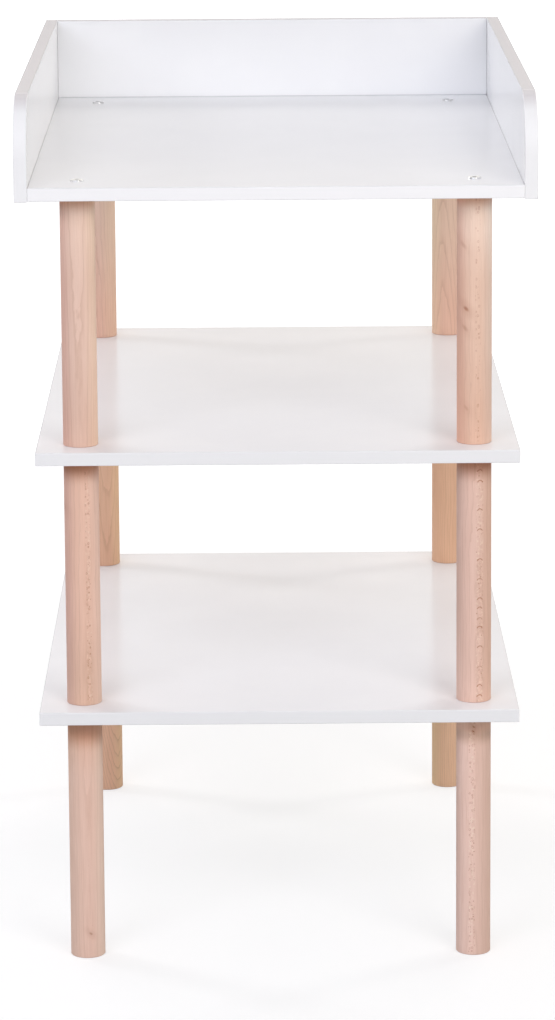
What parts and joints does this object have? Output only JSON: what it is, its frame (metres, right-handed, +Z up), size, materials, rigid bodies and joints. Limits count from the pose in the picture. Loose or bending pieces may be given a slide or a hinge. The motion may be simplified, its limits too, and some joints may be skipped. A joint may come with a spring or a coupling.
{
  "type": "changing table",
  "caption": "Free-standing changing table: a three-walled white tray open at the front, over two white shelves, held apart by short round beech posts.",
  "frame": {"origin": "on the floor, under the middle of the tray's outline", "axes": "+Z up; +X to the right and +Y to the back wall, seen from the open front of the tray"},
  "size_m": [0.589, 0.806, 1.012],
  "materials": {
    "white_board": "satin white lacquer on 15 mm board",
    "beech": "clear matt lacquer on turned beech",
    "dowel_beech": "raw beech, glued in",
    "bright_nickel": "bright nickel plate",
    "zinc_steel": "zinc-plated steel",
    "insert_brass": "plain turned brass",
    "white_cap": "white moulded plastic"
  },
  "bodies": {
    "root": {"back_wall_dowels": "dowel_beech", "back_wall_screw_caps": "white_cap", "back_wall_screws": "zinc_steel", "foot_post_front_left": "beech", "foot_post_front_right": "beech", "foot_post_rear_left": "beech", "foot_post_rear_right": "beech", "left_wall_dowels": "dowel_beech", "left_wall_screw_caps": "white_cap", "left_wall_screws": "zinc_steel", "lower_shelf": "white_board", "lower_shelf_lower_inserts": "insert_brass", "lower_shelf_studs": "zinc_steel", "lower_shelf_upper_inserts": "insert_brass", "middle_post_front_left": "beech", "middle_post_front_right": "beech", "middle_post_rear_left": "beech", "middle_post_rear_right": "beech", "middle_shelf": "white_board", "middle_shelf_lower_inserts": "insert_brass", "middle_shelf_studs": "zinc_steel", "middle_shelf_upper_inserts": "insert_brass", "right_wall_dowels": "dowel_beech", "right_wall_screw_caps": "white_cap", "right_wall_screws": "zinc_steel", "tray_back_wall": "white_board", "tray_base": "white_board", "tray_bolt_inserts": "insert_brass", "tray_bolts": "bright_nickel", "tray_left_wall": "white_board", "tray_right_wall": "white_board", "upper_post_front_left": "beech", "upper_post_front_right": "beech", "upper_post_rear_left": "beech", "upper_post_rear_right": "beech"}
  },
  "joints": []
}
